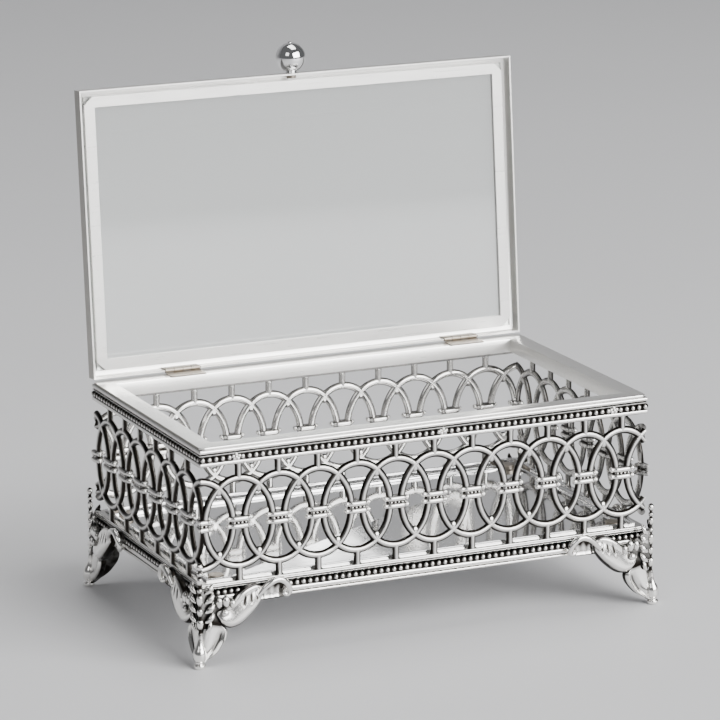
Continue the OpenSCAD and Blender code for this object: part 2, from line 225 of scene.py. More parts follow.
def ball(rx: float, ry: float, rz: float, rings: int = 8, columns: int = 12) -> Shape:
    """A closed ellipsoid: the point at angles a and b is (rx sin a cos b, ry sin a sin b, rz cos a).

    Args:
        rx: Half its size along x.
        ry: Half its size along y.
        rz: Half its size along z.
        rings: Rings of points between the poles.
        columns: Points in each ring.

    Returns:
        The shape, with one point at each pole.
    """
    a = (np.arange(rings) + 1) / (rings + 1) * math.pi
    b = around(columns)
    body = np.stack(
        [
            rx * np.sin(a)[:, None] * np.cos(b),
            ry * np.sin(a)[:, None] * np.sin(b),
            rz * np.cos(a)[:, None] * np.ones(columns),
        ],
        -1,
    )
    skin = grid(body, capped=False)
    top, low = rings * columns, rings * columns + 1
    first = np.arange(columns)
    following = (first + 1) % columns
    last = (rings - 1) * columns
    caps = [np.array([top, i, j]) for i, j in zip(first, following)]
    caps += [np.array([low, last + j, last + i]) for i, j in zip(first, following)]
    points = np.concatenate([skin.points, [[0, 0, rz], [0, 0, -rz]]])
    return Shape(points, skin.quads, caps)


def tube(
    path: np.ndarray,
    radius: np.ndarray | float,
    columns: int = 10,
    closed: bool = False,
    dark: np.ndarray | float = 0.0,
) -> Shape:
    """Carries a circle along a path in space.

    The circle stands square to the path, its first direction the part of a fixed slanting
    vector that is square to the path.

    Args:
        path: The points of the path, one row each.
        radius: One radius, or one for each point of the path.
        columns: Points round the circle.
        closed: Whether the path joins its own start.
        dark: Painted shade and tarnishing, one number or one for each point of the path.

    Returns:
        The tube, capped at its ends if it is open.
    """
    ahead = np.roll(path, -1, 0) - np.roll(path, 1, 0) if closed else np.gradient(path, axis=0)
    ahead = ahead / np.linalg.norm(ahead, axis=1, keepdims=True)
    side = np.cross(ahead, (0.311, 0.173, 0.934))
    side /= np.linalg.norm(side, axis=1, keepdims=True)
    lift = np.cross(side, ahead)
    a = around(columns)
    r = np.broadcast_to(np.asarray(radius, float), (len(path),))[:, None, None]
    rings = path[:, None] + r * (
        np.cos(a)[None, :, None] * side[:, None] + np.sin(a)[None, :, None] * lift[:, None]
    )
    return grid(rings, np.reshape(dark, (-1, 1)), loop_rows=closed)


def lathe(profile: np.ndarray, columns: int = 48, dark: np.ndarray | float = 0.0) -> Shape:
    """Turns a profile about the z axis.

    The point at profile row (r, z) and angle a is (r cos a, r sin a, z).

    Args:
        profile: Rows of radius and height, from one end to the other.
        columns: Points round the axis.
        dark: Painted shade and tarnishing, one number or one for each row of the profile.

    Returns:
        The turned shape, its two ends capped.
    """
    a = around(columns)
    r, z = profile[:, :1], profile[:, 1:]
    rings = np.stack([r * np.cos(a), r * np.sin(a), np.broadcast_to(z, (len(r), columns))], -1)
    return grid(rings, np.reshape(dark, (-1, 1)))


def side_strip(
    length: float, profile: np.ndarray, dark: np.ndarray | float, radius: float, steps: int = 5
) -> Shape:
    """Carries a profile along one side of a frame, out to the mitres at its corners.

    A profile point lies d in from the outer face. Near an end it follows an arc about a centre
    that is max(radius, d) in from both outer faces, with the radius max(radius - d, 0), as far
    as the mitre at 45 degrees, so that four strips make a frame with rounded outer corners.

    Args:
        length: Outer length of the side.
        profile: Rows of distance in from the outer face and height, round the section.
        dark: Painted shade and tarnishing for each row of the profile.
        radius: Radius of the frame's outer corners.
        steps: Steps along each arc.

    Returns:
        The strip, x along the side from its middle and y in from the outer face.
    """
    d, z = profile[:, 0], profile[:, 1]
    centre = np.maximum(radius, d)
    arc = np.maximum(radius - d, 0)
    angle = np.linspace(math.pi / 4, 0, steps + 1)[:, None]
    x = -length / 2 + centre - arc * np.sin(angle)
    y = centre - arc * np.cos(angle)
    x, y = np.concatenate([x, -x[::-1]]), np.concatenate([y, y[::-1]])
    return grid(np.stack([x, y, np.broadcast_to(z, x.shape)], -1), dark)


# ---------------------------------------------------------------- shader maths


class Wire:
    """A shader socket that Python's own operators can work on."""

    def __init__(self, graph: "Graph", socket: bpy.types.NodeSocket) -> None:
        """Wraps one output socket of a graph."""
        self.graph = graph
        self.socket = socket

    def _math(self, operation: str, other: "Wire | float") -> "Wire":
        """Adds one Math node for an operation on this value and another."""
        return self.graph.node("Math", {"operation": operation}, {0: self, 1: other})

    def __add__(self, other: "Wire | float") -> "Wire":
        """Adds two values."""
        return self._math("ADD", other)

    def __sub__(self, other: "Wire | float") -> "Wire":
        """Takes a value away from this one."""
        return self._math("SUBTRACT", other)

    def __mul__(self, other: "Wire | float") -> "Wire":
        """Multiplies two values."""
        return self._math("MULTIPLY", other)

    __radd__ = __add__

    def clamped(self) -> "Wire":
        """This value held between 0 and 1."""
        return self.graph.node("Clamp", {}, {"Value": self})


class Graph:
    """A material's node tree, filled through one method."""

    def __init__(self, name: str) -> None:
        """Starts an empty material."""
        self.material = bpy.data.materials.new(name)
        self.material.use_nodes = True
        self.tree = self.material.node_tree
        self.tree.nodes.clear()

    def node(
        self,
        kind: str,
        settings: dict[str, object] | None = None,
        inputs: dict[str | int, object] | None = None,
        output: str | int = 0,
    ) -> Wire:
        """Adds a node.

        Args:
            kind: The node's type without its "ShaderNode" prefix.
            settings: Its properties; "stops" holds a colour ramp's positions and colours.
            inputs: A Wire or a constant for each named or numbered input.
            output: Which output the returned wire carries.

        Returns:
            The wire from that output.
        """
        made = self.tree.nodes.new("ShaderNode" + kind)
        for key, value in (settings or {}).items():
            if key == "stops":
                stops = made.color_ramp.elements
                while len(stops) < len(value):
                    stops.new(0.5)
                for stop, (place, colour) in zip(stops, value):
                    stop.position, stop.color = place, (*colour, 1.0)
            else:
                setattr(made, key, value)
        for key, value in (inputs or {}).items():
            if isinstance(value, Wire):
                self.tree.links.new(value.socket, made.inputs[key])
            else:
                made.inputs[key].default_value = value
        return Wire(self, made.outputs[output])

    def place(self) -> Wire:
        """The point on the piece, in metres in the row frame."""
        return self.node("TexCoord", output="Object")

    def noise(self, scale: float, detail: float = 3.0, where: Wire | None = None) -> Wire:
        """Cloudy noise with `scale` clouds to the metre."""
        spot = where or self.place()
        inputs = {"Vector": spot, "Scale": scale, "Detail": detail, "Roughness": 0.55}
        return self.node("TexNoise", {}, inputs)

    def stretched(self, scale: tuple[float, float, float]) -> Wire:
        """The point on the piece with each axis scaled on its own, for streaks."""
        return self.node("Mapping", {}, {"Vector": self.place(), "Scale": scale})

    def dark(self) -> Wire:
        """The piece's painted shade and tarnishing."""
        return self.node("Attribute", {"attribute_name": DARK}, output="Fac")

    def blended(self, share: Wire, low: "Wire | Sequence[float]", high: Sequence[float]) -> Wire:
        """The colour between two colours at a share from 0 to 1."""
        first = low if isinstance(low, Wire) else (*low, 1.0)
        ends = {0: share, 6: first, 7: (*high, 1.0)}
        return self.node("Mix", {"data_type": "RGBA"}, ends, 2)

    def bump(self, height: Wire, strength: float, depth_mm: float) -> Wire:
        """A bump of a depth in millimetres, for a shader's Normal."""
        inputs = {"Strength": strength, "Distance": depth_mm * MM, "Height": height}
        return self.node("Bump", {}, inputs)

    def finished(self, inputs: dict[str | int, object]) -> bpy.types.Material:
        """Closes the tree with a Principled shader and returns the material."""
        shader = self.node("BsdfPrincipled", {}, inputs)
        out = self.tree.nodes.new("ShaderNodeOutputMaterial")
        self.tree.links.new(shader.socket, out.inputs["Surface"])
        return self.material


@dataclass(frozen=True)
class CastSilver:
    """Silver plate on a casting: bright where it stands out, darkened in the recesses and on shaded flanks
    by painted shade and tarnishing.

    Attributes:
        bright: Colour of the clean plate.
        tarnish: Colour of painted shade and tarnishing in the deepest recesses.
        roughness: Roughness of the clean plate.
        orange_peel_mm: Height of the casting's soft unevenness.
    """

    bright: tuple[float, float, float] = (0.97, 0.955, 0.925)
    tarnish: tuple[float, float, float] = (0.022, 0.019, 0.016)
    roughness: float = 0.14
    orange_peel_mm: float = 0.04

    def material(self) -> bpy.types.Material:
        """Builds the material from the painted shade and tarnishing attribute and two scales of noise."""
        g = Graph("cast_silver")
        cloud, grain = g.noise(260.0), g.noise(1500.0, 2.0)
        # painted shade and tarnishing: the darkness attribute, varied by the clouds, blends the plate
        # towards the dark colour.
        shade_and_tarnish_share = (g.dark() * (0.8 + cloud * 0.5)).clamped()
        colour = g.blended(shade_and_tarnish_share, self.bright, self.tarnish)
        rough = (self.roughness + cloud * 0.08 + shade_and_tarnish_share * 0.12).clamped()
        normal = g.bump(cloud + grain * 0.25, 0.5, self.orange_peel_mm)
        return g.finished(
            {"Base Color": colour, "Metallic": 1.0, "Roughness": rough, "Normal": normal}
        )


@dataclass(frozen=True)
class SheetSilver:
    """Silver-plated sheet with a fine brushed grain.

    Attributes:
        bright: Colour of the plate.
        dull: Colour of its duller clouds.
        painted_end_shade: Colour painted on the outer faces at the two ends, as painted shade.
        end_mm: Distance from the middle at which those end faces begin.
        end_gain: How fast the painted shade comes in, to the square metre of x times x.
        roughness: Roughness of the plate.
        grain: Streaks to the metre along x, y and z.
    """

    bright: tuple[float, float, float] = (0.97, 0.955, 0.925)
    dull: tuple[float, float, float] = (0.88, 0.875, 0.85)
    painted_end_shade: tuple[float, float, float] = (0.25, 0.235, 0.21)
    end_mm: float = 84.42
    end_gain: float = 60000.0
    roughness: float = 0.30
    grain: tuple[float, float, float] = (60.0, 2200.0, 2200.0)

    def material(self, name: str) -> bpy.types.Material:
        """Builds the material: streaks in roughness and height, clouds in colour, painted shade on the end
        faces.
        """
        g = Graph(name)
        streak = g.noise(1.0, 4.0, g.stretched(self.grain))
        cloud = g.noise(55.0, 4.0)
        # duller clouds, plus the painted shade and tarnishing attribute where a piece has one.
        shade_and_tarnish_share = (cloud * 0.9 - 0.15 + g.dark()).clamped()
        x = g.node("SeparateXYZ", {}, {0: g.place()})
        # painted shade: the outer faces past end_mm at both ends are painted dark.
        end = ((x * x - (self.end_mm * MM) ** 2) * self.end_gain).clamped()
        return g.finished(
            {
                "Base Color": g.blended(end, g.blended(shade_and_tarnish_share, self.bright, self.dull), self.painted_end_shade),
                "Metallic": 1.0,
                "Roughness": (self.roughness - 0.08 + streak * 0.16).clamped(),
                "Normal": g.bump(streak, 0.12, 0.01),
            }
        )


@dataclass(frozen=True)
class MirrorSilver:
    """Mirror-polished plate with faint wipe marks.

    Attributes:
        bright: Colour of the plate.
        roughness: Roughness between the wipe marks.
    """

    bright: tuple[float, float, float] = (0.93, 0.93, 0.93)
    roughness: float = 0.045

    def material(self, name: str) -> bpy.types.Material:
        """Builds the material: wipe marks in roughness, a soft wave in height."""
        g = Graph(name)
        wipe = g.noise(1.0, 5.0, g.stretched((35.0, 420.0, 420.0)))
        wave = g.noise(28.0, 1.0)
        shade = tuple(0.93 * c for c in self.bright)
        return g.finished(
            {
                "Base Color": g.blended(wipe, self.bright, shade),
                "Metallic": 1.0,
                "Roughness": (self.roughness + wipe * 0.05).clamped(),
                "Normal": g.bump(wave, 0.4, 0.05),
            }
        )


@dataclass(frozen=True)
class Steel:
    """Plain, slightly warm steel of hinges and screws.

    Attributes:
        bright: Colour of the steel.
        roughness: Its roughness.
    """

    bright: tuple[float, float, float] = (0.38, 0.34, 0.29)
    roughness: float = 0.28

    def material(self) -> bpy.types.Material:
        """Builds the material: fine turning marks in roughness."""
        g = Graph("steel")
        mark = g.noise(1800.0, 2.0)
        dull = tuple(0.75 * c for c in self.bright)
        return g.finished(
            {
                "Base Color": g.blended(mark, self.bright, dull),
                "Metallic": 1.0,
                "Roughness": (self.roughness + mark * 0.15).clamped(),
            }
        )


@dataclass(frozen=True)
class ClearGlass:
    """The pane: clear glass with the faintest green, a thin film of dust and a few smudges.

    Attributes:
        tint: Colour of the light that passes.
        index: Its index of refraction.
        clear: Share of the light that passes the film of dust.
    """

    tint: tuple[float, float, float] = (0.965, 0.985, 0.975)
    index: float = 1.5
    clear: float = 0.90

    def material(self) -> bpy.types.Material:
        """Builds the material: full transmission, smudges in roughness."""
        g = Graph("clear_glass")
        smudge = g.noise(38.0, 4.0)
        return g.finished(
            {
                "Base Color": (*self.tint, 1.0),
                "Roughness": (smudge * 0.03 - 0.01).clamped(),
                "IOR": self.index,
                "Transmission Weight": self.clear,
            }
        )


# ---------------------------------------------------------------- from shapes to pieces


def added(name: str, data: bpy.types.ID) -> bpy.types.Object:
    """Makes an object of a mesh, a lamp or a camera and puts it in the scene."""
    made = bpy.data.objects.new(name, data)
    bpy.context.scene.collection.objects.link(made)
    return made


class Body(Enum):
    """The two bodies that pieces ride on."""

    BOX = "box"
    LID = "lid"


class Slot(Enum):
    """The record's material slots."""

    CASTING = "silver_casting"
    SHEET = "silver_sheet"
    TRAY = "polished_tray"
    KNOB = "polished_knob"
    GLASS = "clear_glass"
    STEEL = "steel"


@dataclass
class Workshop:
    """Where shapes become pieces: holds the finishes and the shift into the row frame.

    Attributes:
        y_mid: Middle of the box's footprint along y in the row frame, in millimetres.
        finish: The material for each slot.
    """

    y_mid: float
    finish: dict[Slot, bpy.types.Material]

    def piece(
        self,
        name: str,
        shape: Shape,
        slot: Slot,
        body: Body,
        replaced: Sequence[str],
        crease: float = 50.0,
    ) -> bpy.types.Object:
        """Makes an object of a shape and puts it in its place.

        Args:
            name: The piece's name.
            shape: Its shape, in the maker's frame.
            slot: The material slot it takes its finish from.
            body: The body it rides on.
            replaced: The CAD nodes it stands for.
            crease: Edges sharper than this many degrees stay sharp.

        Returns:
            The object, smooth shaded, its faces outward.
        """
        points = shape.points * MM + (0.0, self.y_mid * MM, 0.0)
        mesh = bpy.data.meshes.new(name)
        faces = shape.quads.tolist() + [c.tolist() for c in shape.caps]
        mesh.from_pydata(points.tolist(), [], faces)
        tone = mesh.attributes.new(DARK, "FLOAT", "POINT")
        tone.data.foreach_set("value", shape.dark.astype(np.float32))
        work = bmesh.new()
        work.from_mesh(mesh)
        bmesh.ops.recalc_face_normals(work, faces=work.faces)
        work.to_mesh(mesh)
        work.free()
        mesh.shade_smooth()
        mesh.set_sharp_from_angle(angle=math.radians(crease))
        return self.dressed(added(name, mesh), slot, body, replaced)

    def dressed(
        self, made: bpy.types.Object, slot: Slot, body: Body, replaced: Sequence[str]
    ) -> bpy.types.Object:
        """Gives an object its finish, its body and the nodes it replaces."""
        made.data.materials.clear()
        made.data.materials.append(self.finish[slot])
        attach(made, body.value)
        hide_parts(*replaced)
        log.info("%s: %d faces", made.name, len(made.data.polygons))
        return made

    def softened(self, node: str, slot: Slot, body: Body, edge_mm: float) -> bpy.types.Object:
        """Copies a CAD node and rounds its edges, for sheet parts whose shape is right.

        Args:
            node: The CAD node.
            slot: The material slot the piece takes its finish from.
            body: The body it rides on.
            edge_mm: Width of the rounding.

        Returns:
            The copy, merged, with a Bevel modifier on its corners over 40 degrees.
        """
        weld_m, flat, corner = 2e-6, math.radians(0.5), math.radians(40)
        mesh = frame["nodes"][node].data.copy()
        work = bmesh.new()
        work.from_mesh(mesh)
        bmesh.ops.remove_doubles(work, verts=work.verts, dist=weld_m)
        bmesh.ops.dissolve_limit(work, angle_limit=flat, verts=work.verts, edges=work.edges)
        work.to_mesh(mesh)
        work.free()
        made = added(f"{node}_looks", mesh)
        rounding = made.modifiers.new("rounding", "BEVEL")
        rounding.width = edge_mm * MM
        rounding.segments = 2
        rounding.limit_method = "ANGLE"
        rounding.angle_limit = corner
        rounding.harden_normals = False
        mesh.shade_smooth()
        mesh.set_sharp_from_angle(angle=corner)
        return self.dressed(made, slot, body, [node])


# ---------------------------------------------------------------- the four sides and cast walls


def on_side(points: np.ndarray, reach: float, quarter_turns: int) -> np.ndarray:
    """Takes points drawn on the front side to another side of the box.

    Args:
        points: Rows with y counted in from the outer face.
        reach: Distance of that face from the middle of the box.
        quarter_turns: Quarter turns about z, anticlockwise from above.

    Returns:
        The points in the maker's frame.
    """
    x, y = points[:, 0], points[:, 1] - reach
    c, s = ((1, 0), (0, 1), (-1, 0), (0, -1))[quarter_turns % 4]
    return np.stack([c * x - s * y, s * x + c * y, points[:, 2]], 1)


def band_profile(
    foot_z: float, rows: Sequence[tuple[float, float, float]]
) -> tuple[np.ndarray, np.ndarray]:
    """Reads a band's section.

    Args:
        foot_z: Height of the band's bottom.
        rows: Distance in from the outer face, height over the bottom, and painted shade and tarnishing.

    Returns:
        The section's rows of distance in and height, and the painted shade and tarnishing of each.
    """
    table = np.array(rows)
    return np.stack([table[:, 0], foot_z + table[:, 1]], 1), table[:, 2]


@dataclass
class Sides:
    """The four sides of the box, for pieces that are drawn once as the front one.

    Attributes:
        width: Outer width of the box.
        depth: Outer depth of the box.
    """

    width: float
    depth: float

    def put(
        self, shop: Workshop, kind: str, long: Shape, short: Shape, slot: Slot, crease: float
    ) -> None:
        """Puts a piece on every side.

        Args:
            shop: The workshop that makes the pieces.
            kind: What the pieces are, which ends their nodes' names.
            long: The shape at the front and the rear.
            short: The shape at the left and the right.
            slot: The pieces' material slot.
            crease: Edges sharper than this many degrees stay sharp.
        """
        for side, turn, shape, out in (
            ("front", 0, long, self.depth), ("rear", 2, long, self.depth),
            ("left", -1, short, self.width), ("right", 1, short, self.width),
        ):
            node = f"{side}_{kind}"
            placed = shape.mapped(lambda p: on_side(p, out / 2, turn))
            shop.piece(f"{node}_looks", placed, slot, Body.BOX, [node], crease)


@dataclass
class Walls(Sides):
    """The four cast panels: two moulded bands with fretwork of oval links between them.

    Attributes:
        links: Oval links along a side panel.
        low_z: Bottom of the lower band.
        lattice_z: Top of the lower band.
        top_z: Bottom of the upper band.
        strand_w: Width of a strand.
        strand_d: Its depth from front to back.
        recess: Distance of the strands' fronts in from the outer face.
        oval_half_h: Half the height of an oval.
        pair_gap: Distance between the two strands that a collar holds.
        stem_half: Half the width of a stem at its waist.
        bead_r: Radius of a bead.
        bead_in: Distance of the beads' middles in from the outer face.
        bead_rows: Heights of the bead rows over the bottoms of the upper and the lower band.
        beads_per_link: Beads along each row over the length of one link.
        corner_r: Radius of the bands' outer corners.
    """

    links: int = 7
    low_z: float = 21.0
    lattice_z: float = 28.2
    top_z: float = 69.2
    strand_w: float = 2.8
    strand_d: float = 2.2
    recess: float = 0.4
    oval_half_h: float = 15.4
    pair_gap: float = 4.2
    stem_half: float = 1.3
    bead_r: float = 0.92
    bead_in: float = 0.42
    bead_rows: tuple[float, float] = (2.6, 4.02)
    beads_per_link: int = 6
    corner_r: float = 0.6

    @property
    def pitch(self) -> float:
        """Distance between two links."""
        return self.depth / self.links

    @property
    def middle(self) -> float:
        """Height of the collars."""
        return (self.lattice_z + self.top_z) / 2

    @property
    def oval_half_w(self) -> float:
        """Half the width of an oval."""
        return self.pitch - self.pair_gap / 2

    @property
    def mid_y(self) -> float:
        """Distance of the strands' middles in from the outer face."""
        return self.recess + self.strand_d / 2

    def top_profile(self) -> tuple[np.ndarray, np.ndarray]:
        """Section of the upper band and how dark each of its points is painted: painted shade in the
        recessed fields, and tarnishing.
        """
        return band_profile(self.top_z, [
            (3.0, 0.0, 0.6), (0.6, 0.0, 0.9), (0.2, 0.14, 0.3), (0.0, 0.5, 0.0),
            (0.0, 1.0, 0.0), (0.14, 1.34, 0.1), (0.36, 1.46, 0.5),
            (0.7, 1.62, 1.0), (0.75, 2.6, 1.0), (0.7, 3.56, 1.0),
            (0.32, 3.74, 0.7), (0.16, 3.9, 0.1), (0.18, 4.15, 0.3),
            (0.8, 4.28, 1.0), (0.8, 4.52, 1.0), (0.22, 4.64, 0.1),
            (0.04, 4.85, 0.0), (0.0, 5.15, 0.0), (0.04, 5.5, 0.0),
            (0.2, 5.75, 0.0), (0.45, 5.9, 0.5), (0.8, 6.0, 0.9),
            (3.0, 6.0, 0.4),
        ])

    def low_profile(self) -> tuple[np.ndarray, np.ndarray]:
        """Section of the lower band, with the inner shelf that carries the floor tray."""
        # The third column is painted shade and tarnishing, darkest in the recessed fields.
        return band_profile(self.low_z, [
            (3.0, 0.0, 0.4), (0.45, 0.0, 0.2), (0.14, 0.12, 0.0), (0.0, 0.45, 0.0),
            (0.06, 0.75, 0.0), (0.22, 0.9, 0.2), (0.65, 1.0, 1.0),
            (0.65, 1.15, 1.0), (0.18, 1.28, 0.2), (0.02, 1.6, 0.0),
            (0.0, 2.2, 0.0), (0.1, 2.68, 0.1), (0.34, 2.86, 0.4),
            (0.7, 3.03, 1.0), (0.75, 4.0, 1.0), (0.7, 5.0, 1.0),
            (0.3, 5.4, 0.6), (0.22, 5.55, 0.1), (0.3, 5.68, 0.4),
            (0.9, 5.75, 1.0), (0.9, 5.95, 1.0), (0.36, 6.05, 0.2),
            (0.28, 6.25, 0.0), (0.36, 6.45, 0.2), (0.56, 6.52, 0.7),
            (0.38, 6.6, 0.2), (0.3, 6.85, 0.0), (0.4, 7.1, 0.1),
            (0.65, 7.2, 0.2), (3.0, 7.2, 0.3), (3.0, 5.2, 0.3),
            (4.5, 5.2, 0.3), (4.5, 3.7, 0.3), (3.0, 3.7, 0.4),
        ])

    def strand(self, line: np.ndarray, half: np.ndarray | float, looped: bool) -> Shape:
        """Carries the strand's section along a line in the wall's plane.

        The section is a soft lozenge, `half` wide to each side of the line and the strand's
        depth from front to back: a narrow bright ridge in front, flanks painted dark as painted
        shade, a back painted less dark.

        Args:
            line: Rows of x and z.
            half: Half the strand's width, one number or one for each row.
            looped: Whether the line closes on itself.

        Returns:
            The strand, y in from the outer face.
        """
        run = np.roll(line, -1, 0) - np.roll(line, 1, 0) if looped else np.gradient(line, axis=0)
        run = run / np.linalg.norm(run, axis=1, keepdims=True)
        across = np.stack([-run[:, 1], run[:, 0]], 1)
        u, v = soft_square(16, 1.55)
        half = np.broadcast_to(np.asarray(half, float), (len(line),))[:, None]
        flat = line[:, None] + (half * u)[..., None] * across[:, None]
        y = self.recess + self.strand_d / 2 * (1 - v)
        points = np.stack([flat[..., 0], np.broadcast_to(y, flat.shape[:2]), flat[..., 1]], -1)
        # painted shade: the flanks are painted dark, the back a little less, the front ridge left bright.
        dark = np.clip((0.985 - np.abs(v)) / 0.2, 0, 1) * np.where(v > -0.05, 1.0, 0.42)
        return grid(points, dark, loop_rows=looped)

    def ovals(self, length: float) -> list[Shape]:
        """The oval links of a panel, each cut where it meets the corners.

        An oval is the ellipse x = x0 + a cos t, z = z0 + b sin t. Where it passes a corner,
        only the stretch of t inside the panel is kept, with a short overrun past the mitre.
        """
        a, b = self.oval_half_w, self.oval_half_h
        overrun = 1.2
        made = []
        for k in range(math.ceil(length / self.pitch) + 1):
            x0 = -length / 2 + k * self.pitch
            t = np.linspace(0, 2 * math.pi, 145)[:-1]
            inside = np.abs(x0 + a * np.cos(t)) <= length / 2 - self.mid_y + overrun
            if not inside.any():
                continue
            t = t[inside]
            if not inside.all():
                gap = np.argmax(np.diff(np.concatenate([t, [t[0] + 2 * math.pi]])))
                t = np.unwrap(np.roll(t, -gap - 1))
            line = np.stack([x0 + a * np.cos(t), self.middle + b * np.sin(t)], 1)
            made.append(self.strand(line, self.strand_w / 2, bool(inside.all())))
        return made

    def stems(self, length: float) -> list[Shape]:
        """The short stems between the ovals and the bands, flared where they join."""
        made = []
        reach, tuck, flare, steps = self.oval_half_h + 0.2, 0.1, 1.0, 15
        for k in range(1, math.ceil(length / self.pitch)):
            x = np.full(steps, -length / 2 + k * self.pitch)
            for low, high in (
                (self.lattice_z - tuck, self.middle - reach),
                (self.middle + reach, self.top_z + tuck),
            ):
                z = np.linspace(low, high, steps)
                bend = np.clip(1 - np.minimum(z - low, high - z) / flare, 0, 1)
                half = self.stem_half + flare * (1 - np.sqrt(np.clip(1 - bend**2, 0, 1)))
                made.append(self.strand(np.stack([x, z], 1), half, False))
        return made

    def crossings(self, length: float) -> Shape:
        """The lumps where two ovals cross: soft lozenges, a little proud of the strands."""
        rise = self.oval_half_h * math.sqrt(1 - (self.pitch / 2 / self.oval_half_w) ** 2) - 0.7
        lump = ball(1.6, self.strand_d / 2 - 0.08, 2.3, 7, 12)
        # painted shade: each lump is painted dark on its flanks, bright at front and back.
        lump.dark = np.clip(2.2 - 2.6 * np.abs(lump.points[:, 1]), 0, 1)
        x = -length / 2 + (np.arange(math.floor(length / self.pitch)) + 0.5) * self.pitch
        x = x[np.abs(x) < length / 2 - 2]
        return repeated(lump, [(xi, self.mid_y, self.middle + s * rise) for xi in x for s in (-1, 1)])

    def collar(self) -> Shape:
        """One collar: two rings round a pair of strands, with balls at their ends.

        A ring is a tube whose path is a soft square in the level plane, wide across the pair
        and as deep as the strands. A row of small dots stands between the two rings.
        """
        steps = 28
        wide, deep, thick, apart = 3.15, 1.15, 0.98, 1.28
        cu, su = np.cos(around(steps)), np.sin(around(steps))
        x = wide * np.sign(cu) * np.abs(cu) ** 0.55
        y = self.mid_y + deep * np.sign(su) * np.abs(su) ** 0.8
        ring = tube(np.stack([x, y, np.zeros(steps)], 1), thick, 10, closed=True)
        # painted shadow: each ring is painted dark along its upper and lower edges.
        ring.dark = np.clip((np.abs(ring.points[:, 2]) - 0.55) / 0.4, 0, 1)
        end = ball(1.05, 1.05, 0.95, 6, 10)
        ends = [(sx * 4.0, self.mid_y - 0.5, sz * apart) for sx in (-1, 1) for sz in (-1, 1)]
        u, v = soft_square(16, 4.0)
        core = np.stack([2.9 * u, self.mid_y + 1.25 * v], 1)
        block = np.stack([np.insert(core, 2, z, axis=1) for z in (-1.3, 1.3)])
        dot = ball(0.42, 0.42, 0.40, 4, 7)
        dots = [(dx, self.recess - 0.15, 0.0) for dx in (-2.1, -0.7, 0.7, 2.1)]
        rings = [ring.moved(z=s * apart) for s in (-1, 1)]
        # painted shade: grid(block, 1.0) paints the core block between the rings fully dark.
        return joined(rings + [repeated(end, ends), grid(block, 1.0), repeated(dot, dots)])

    def collars(self, length: float) -> Shape:
        """A collar at each place where two ovals stand side by side."""
        x = -length / 2 + np.arange(math.floor(length / self.pitch + 1e-6) + 1) * self.pitch
        places = np.stack([x, np.zeros_like(x), np.full_like(x, self.middle)], 1)
        return repeated(self.collar(), places)

    def beads(self, length: float) -> Shape:
        """The bead rows of both bands, spread evenly to the corners, each bead bright in front and painted
        dark behind as painted shade.
        """
        gap = self.pitch / self.beads_per_link
        x = -length / 2 + (np.arange(round(length / gap)) + 0.5) * gap
        bead = ball(self.bead_r, self.bead_r, self.bead_r, 6, 10)
        bead = bead.mapped(lambda p: np.stack([p[:, 0], -p[:, 2], p[:, 1]], 1))
        # painted shade: darkness rises from the front of each bead to its back.
        bead.dark = np.clip((bead.points[:, 1] / self.bead_r + 0.8) / 0.28, 0, 1)
        upper, lower = self.bead_rows
        heights = (self.top_z + upper, self.low_z + lower)
        return repeated(bead, [(xi, self.bead_in, z) for z in heights for xi in x])

    def rosette(self) -> Shape:
        """A small oval flower on the upper bead row: five petals round a button."""
        angle = around(5) + math.pi / 2
        places = np.stack([1.15 * np.cos(angle), np.zeros(5), 0.72 * np.sin(angle)], 1)
        petals = repeated(ball(0.75, 0.5, 0.62, 5, 8), places)
        return joined([petals, ball(0.5, 0.62, 0.45, 5, 8).moved(y=-0.25)]).darker(0.1)

    def rosettes(self, length: float) -> Shape:
        """The rosettes of a long panel: near both ends and near the middle."""
        from_end, off_middle, y = 13.5, 5.5, 0.25
        x = (-length / 2 + from_end, off_middle, length / 2 - from_end)
        return repeated(self.rosette(), [(xi, y, self.top_z + self.bead_rows[0]) for xi in x])

    def panel(self, length: float, flowers: bool) -> Shape:
        """One whole panel, drawn as the front one, its points held inside the mitres.

        Args:
            length: Outer length of the panel.
            flowers: Whether the upper band has rosettes.

        Returns:
            The panel, x along it from its middle and y in from its outer face.
        """
        fret = self.ovals(length) + self.stems(length)
        fret += [self.crossings(length), self.collars(length), self.beads(length)]
        if flowers:
            fret.append(self.rosettes(length))
        inner = joined(fret)
        limit = length / 2 - np.maximum(inner.points[:, 1], 0.0)
        inner.points[:, 0] = np.clip(inner.points[:, 0], -limit, limit)
        profiles = (self.top_profile(), self.low_profile())
        bands = [side_strip(length, *profile, self.corner_r) for profile in profiles]
        return joined(bands + [inner])

    def build(self, shop: Workshop) -> None:
        """Makes the four panels; the short ones are painted a little darker, as painted shade on the sides.
        """
        long, short = self.panel(self.width, True), self.panel(self.depth, False).darker(0.2)
        self.put(shop, "panel", long, short, Slot.CASTING, 55.0)


# ---------------------------------------------------------------- the rim ledge


